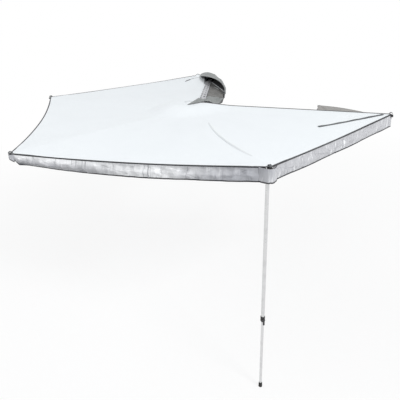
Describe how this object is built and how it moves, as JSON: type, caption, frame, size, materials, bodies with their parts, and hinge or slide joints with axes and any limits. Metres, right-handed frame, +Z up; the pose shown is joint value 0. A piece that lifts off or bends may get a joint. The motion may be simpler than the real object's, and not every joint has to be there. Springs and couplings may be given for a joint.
{
  "type": "vehicle side awning",
  "caption": "Vehicle side awning: arms fan out from one pin on a roof-bar rail under a cloth canopy with hanging valances, a telescopic pole and an open storage bag.",
  "frame": {"origin": "centre of the rear bracket's foot, on its underside, where it sits on the rear roof bar", "axes": "+X to the vehicle's right, +Y to the vehicle's front along the rail, +Z up"},
  "size_m": [3.5302, 3.6016, 2.0297],
  "materials": {
    "aluminium": "satin anodised",
    "cast_aluminium": "matt cast",
    "black_steel": "satin powder coat",
    "zinc_steel": "zinc plated",
    "black_plastic": "fine grain",
    "black_rubber": "matt",
    "white_canvas": "coated polyester, faint sheen",
    "silver_cloth": "silver-coated polyester",
    "grey_bag_cloth": "coated, smooth",
    "black_lining": "matt",
    "taupe_cloth": "matt weave",
    "grey_webbing": "ribbed webbing"
  },
  "bodies": {
    "base": {"mounting_rail": "aluminium", "rail_cap_rear": "black_plastic", "rail_cap_front": "black_plastic", "rear_bracket": "black_steel", "front_bracket": "black_steel", "rear_bracket_studs": "zinc_steel", "front_bracket_studs": "zinc_steel", "rear_bracket_bolt_1": "zinc_steel", "rear_bracket_bolt_2": "zinc_steel", "front_bracket_bolt_1": "zinc_steel", "front_bracket_bolt_2": "zinc_steel", "hinge_bracket": "black_steel", "hinge_bolt_1": "zinc_steel", "hinge_bolt_2": "zinc_steel", "hinge_bolt_3": "zinc_steel", "hinge_bolt_4": "zinc_steel", "pivot_pin": "zinc_steel", "pivot_nut": "zinc_steel", "pivot_washer": "zinc_steel", "canopy_keder": "white_canvas", "canopy_hem": "silver_cloth", "hinge_cover": "grey_bag_cloth", "bag_base": "black_lining", "bag_apron": "grey_bag_cloth", "bag_lid": "grey_bag_cloth", "bag_front_panel": "grey_bag_cloth", "bag_ring": "zinc_steel", "flap_hook": "black_plastic"},
    "arm_1": {"arm_1_tube": "aluminium", "arm_1_knuckle": "cast_aluminium", "arm_1_cap": "black_plastic", "canopy_panel_1": "white_canvas"},
    "arm_2": {"arm_2_tube": "aluminium", "arm_2_knuckle": "cast_aluminium", "arm_2_cap": "black_plastic", "canopy_panel_2": "white_canvas"},
    "arm_3": {"arm_3_tube": "aluminium", "arm_3_knuckle": "cast_aluminium", "arm_3_cap": "black_plastic", "canopy_panel_3": "white_canvas", "valance_1": "silver_cloth", "pole_pivot_bolt": "zinc_steel", "pole_spacer": "black_plastic", "pole_pivot_nut": "zinc_steel"},
    "arm_4": {"arm_4_tube": "aluminium", "arm_4_knuckle": "cast_aluminium", "arm_4_cap": "black_plastic", "canopy_panel_4": "white_canvas", "valance_2": "silver_cloth", "canopy_strap": "grey_webbing", "side_flap": "taupe_cloth", "flap_tab": "grey_webbing"},
    "pole_upper": {"pole_top_fitting": "black_plastic", "pole_upper_tube": "aluminium", "pole_collar": "black_plastic", "lever_pin": "zinc_steel"},
    "clamp_lever": {"clamp_lever": "black_plastic"},
    "pole_lower": {"pole_lower_tube": "aluminium", "pole_foot": "black_rubber"}
  },
  "joints": [
    {"name": "arm_1_swing", "type": "hinge", "parent": "base", "child": "arm_1", "pos_m": [-0.2, -0.56, 0.088], "axis": [0, 0, 1], "range_deg": [-67.5, 0], "deforming": ["canopy_panel_1", "bag_lid"]},
    {"name": "arm_2_swing", "type": "hinge", "parent": "arm_1", "child": "arm_2", "pos_m": [-0.2, -0.56, 0.112], "axis": [0, 0, 1], "range_deg": [-71.5, 0], "deforming": ["canopy_panel_2"]},
    {"name": "arm_3_swing", "type": "hinge", "parent": "arm_2", "child": "arm_3", "pos_m": [-0.2, -0.56, 0.136], "axis": [0, 0, 1], "range_deg": [-63.2, 0], "deforming": ["canopy_panel_3", "valance_1"]},
    {"name": "arm_4_swing", "type": "hinge", "parent": "arm_3", "child": "arm_4", "pos_m": [-0.2, -0.56, 0.16], "axis": [0, 0, 1], "range_deg": [-53.4, 0], "deforming": ["canopy_panel_4", "valance_2", "canopy_strap", "side_flap", "flap_tab"]},
    {"name": "pole_swing", "type": "hinge", "parent": "arm_3", "child": "pole_upper", "pos_m": [0.49081, -2.1628, 0.132], "axis": [0.9259, 0.3778, 0], "range_deg": [0, 86]},
    {"name": "clamp_lever_swing", "type": "hinge", "parent": "pole_upper", "child": "clamp_lever", "pos_m": [0.49818, -2.18085, -1.1405], "axis": [-0.9259, -0.3778, 0], "range_deg": [0, 80]},
    {"name": "pole_extend", "type": "slide", "parent": "pole_upper", "child": "pole_lower", "axis": [0, 0, 1], "range_m": [0, 0.6]}
  ]
}
